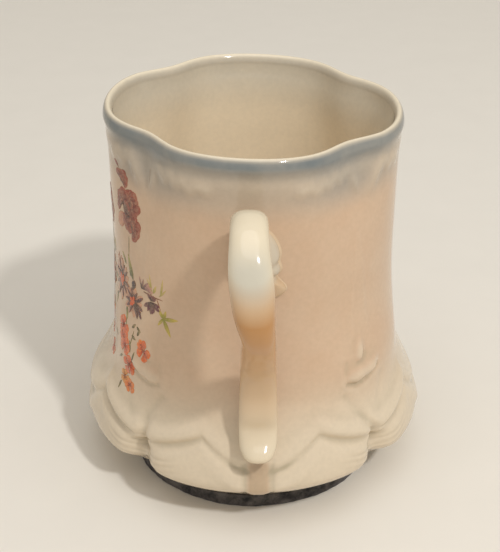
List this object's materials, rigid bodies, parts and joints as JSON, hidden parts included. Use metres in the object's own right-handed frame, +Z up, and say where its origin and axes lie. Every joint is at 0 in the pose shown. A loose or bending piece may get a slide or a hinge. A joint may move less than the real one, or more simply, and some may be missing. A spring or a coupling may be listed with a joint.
{
  "type": "square mug",
  "caption": "Porcelain mug with a softly squared, lobed lip, a moulded scalloped skirt, an ear-shaped strap handle and a felt pad under its foot.",
  "frame": {"origin": "centre of the pad's underside, on the mug's axis", "axes": "+Z up along the mug's axis; the handle points along -Y; +X to the right when the handle faces the viewer"},
  "size_m": [0.0862, 0.1066, 0.0959],
  "materials": {
    "glazed_porcelain": "clear glaze over cream porcelain, with an airbrushed blue-grey lip and a peach tint on the wall",
    "glazed_handle": "clear glaze over cream porcelain",
    "fired_slip": "glazed over with the body",
    "dark_felt": "dense wool felt"
  },
  "bodies": {
    "root": {"body": "glazed_porcelain", "handle": "glazed_handle", "upper_luting_slip": "fired_slip", "lower_luting_slip": "fired_slip", "felt_pad": "dark_felt"}
  },
  "joints": []
}
